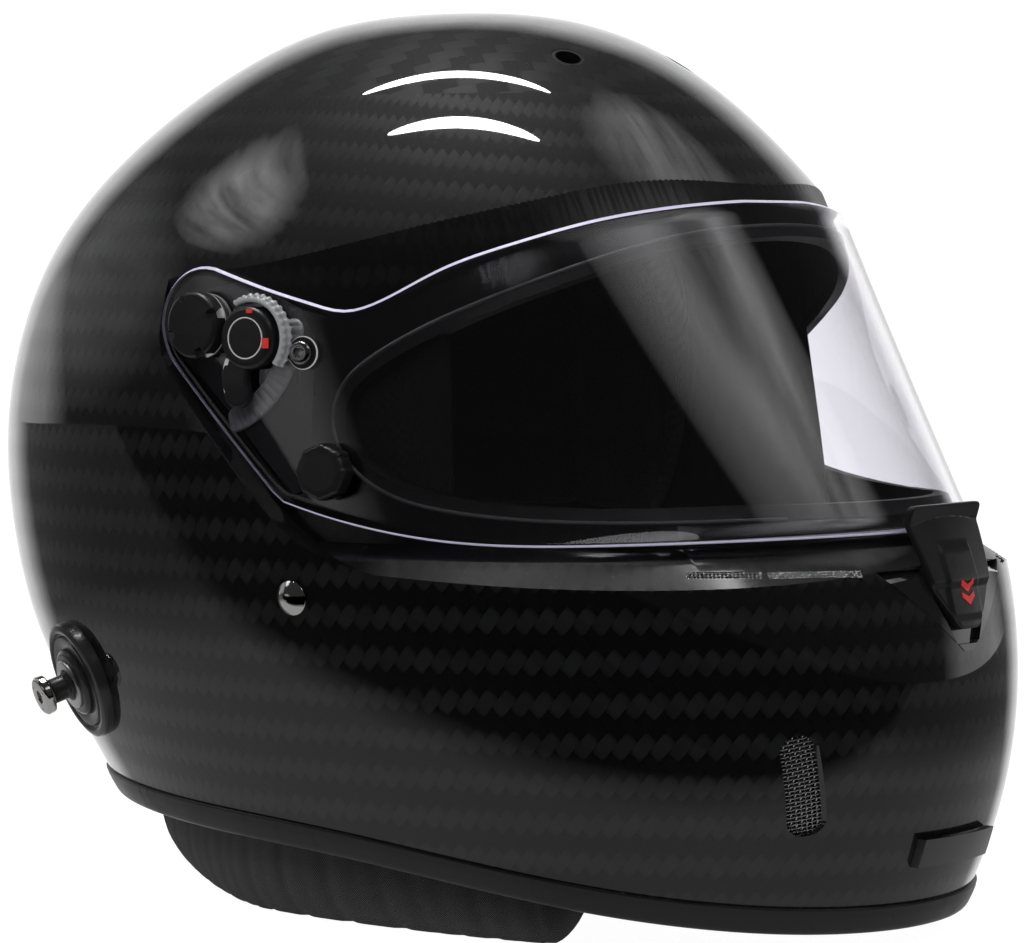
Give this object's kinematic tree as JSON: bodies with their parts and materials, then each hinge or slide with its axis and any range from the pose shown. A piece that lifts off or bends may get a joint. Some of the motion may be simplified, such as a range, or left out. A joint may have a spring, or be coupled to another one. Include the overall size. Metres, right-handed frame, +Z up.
{
  "type": "auto racing helmet",
  "caption": "Full-face racing helmet in woven carbon with a hinged clear visor, sliding chin latch, side locks, vents, padding and head restraint posts.",
  "frame": {"origin": "on the surface that the helmet stands on, under the middle of its bounding box", "axes": "+Z up, the wearer looks along -Y, the wearer's left is +X"},
  "size_m": [0.2506, 0.3605, 0.2811],
  "materials": {
    "carbon_shell": "clear-coated woven carbon",
    "edge_rubber": "satin extruded rubber",
    "gasket_rubber": "matt rubber",
    "clear_visor": "clear polycarbonate, polished",
    "black_plastic": "fine texture",
    "satin_plastic": "satin",
    "clear_plastic": "clear moulded",
    "nylon": "natural",
    "vent_mesh": "woven bright wire",
    "liner_foam": "black moulded foam",
    "pad_fabric": "napped cloth",
    "roll_fabric": "napped cloth, sewn",
    "strap_web": "woven webbing",
    "ring_steel": "bead blasted",
    "post_steel": "turned",
    "bright_steel": "turned",
    "anchor_black": "black anodised",
    "anchor_washer": "pale satin"
  },
  "bodies": {
    "shell": {"outer_shell": "carbon_shell", "shell_edge_trim": "edge_rubber", "eye_port_gasket": "gasket_rubber", "latch_seat": "black_plastic", "shelf_vent_meshes": "vent_mesh", "crown_hole_liners": "black_plastic", "chin_lip": "black_plastic", "liner_foam": "liner_foam", "crown_pad": "pad_fabric", "chin_bar_foam": "liner_foam", "neck_roll": "roll_fabric", "strap_d_rings": "ring_steel", "side_plate_left": "satin_plastic", "ratchet_arc_left": "clear_plastic", "pivot_post_left": "post_steel", "pivot_washer_left": "nylon", "pivot_knob_left": "black_plastic", "chin_vent_mesh_left": "vent_mesh", "strap_rivet_left": "bright_steel", "cheek_pad_left": "pad_fabric", "chin_strap_left": "strap_web", "anchor_disc_left": "anchor_black", "anchor_ring_left": "anchor_black", "anchor_washer_left": "anchor_washer", "anchor_post_left": "bright_steel", "anchor_nut_left": "bright_steel", "side_plate_right": "satin_plastic", "ratchet_arc_right": "clear_plastic", "pivot_post_right": "post_steel", "pivot_washer_right": "nylon", "pivot_knob_right": "black_plastic", "chin_vent_mesh_right": "vent_mesh", "strap_rivet_right": "bright_steel", "cheek_pad_right": "pad_fabric", "chin_strap_right": "strap_web", "anchor_disc_right": "anchor_black", "anchor_ring_right": "anchor_black", "anchor_washer_right": "anchor_washer", "anchor_post_right": "bright_steel", "anchor_nut_right": "bright_steel"},
    "visor": {"visor": "clear_visor", "visor_peg_left": "black_plastic", "visor_peg_right": "black_plastic"},
    "latch": {"chin_latch": "satin_plastic"},
    "dial_left": {"lock_dial_left": "satin_plastic"},
    "stud_left": {"tear_off_stud_left": "black_plastic"},
    "dial_right": {"lock_dial_right": "satin_plastic"},
    "stud_right": {"tear_off_stud_right": "black_plastic"}
  },
  "joints": [
    {"name": "visor_hinge", "type": "hinge", "parent": "shell", "child": "visor", "pos_m": [0, 0.0152, 0.1831], "axis": [-1, 0, 0], "range_deg": [0, 50]},
    {"name": "latch_slide", "type": "slide", "parent": "shell", "child": "latch", "axis": [0, -0.31, -0.9507], "range_m": [0, 0.0035], "stiffness_N_per_m": 400, "springref_m": -0.0005},
    {"name": "dial_turn_left", "type": "hinge", "parent": "visor", "child": "dial_left", "pos_m": [0.11779, -0.0044, 0.1794], "axis": [-0.9905, 0.1366, -0.0125], "range_deg": [0, 40]},
    {"name": "stud_turn_left", "type": "hinge", "parent": "visor", "child": "stud_left", "pos_m": [0.1139, -0.0309, 0.1405], "axis": [0.9761, -0.2144, 0.0357], "range_deg": [-90, 90]},
    {"name": "dial_turn_right", "type": "hinge", "parent": "visor", "child": "dial_right", "pos_m": [-0.11779, -0.0044, 0.1794], "axis": [-0.9905, -0.1366, 0.0125], "range_deg": [0, 40]},
    {"name": "stud_turn_right", "type": "hinge", "parent": "visor", "child": "stud_right", "pos_m": [-0.1139, -0.0309, 0.1405], "axis": [-0.9761, -0.2144, 0.0357], "range_deg": [-90, 90]}
  ]
}
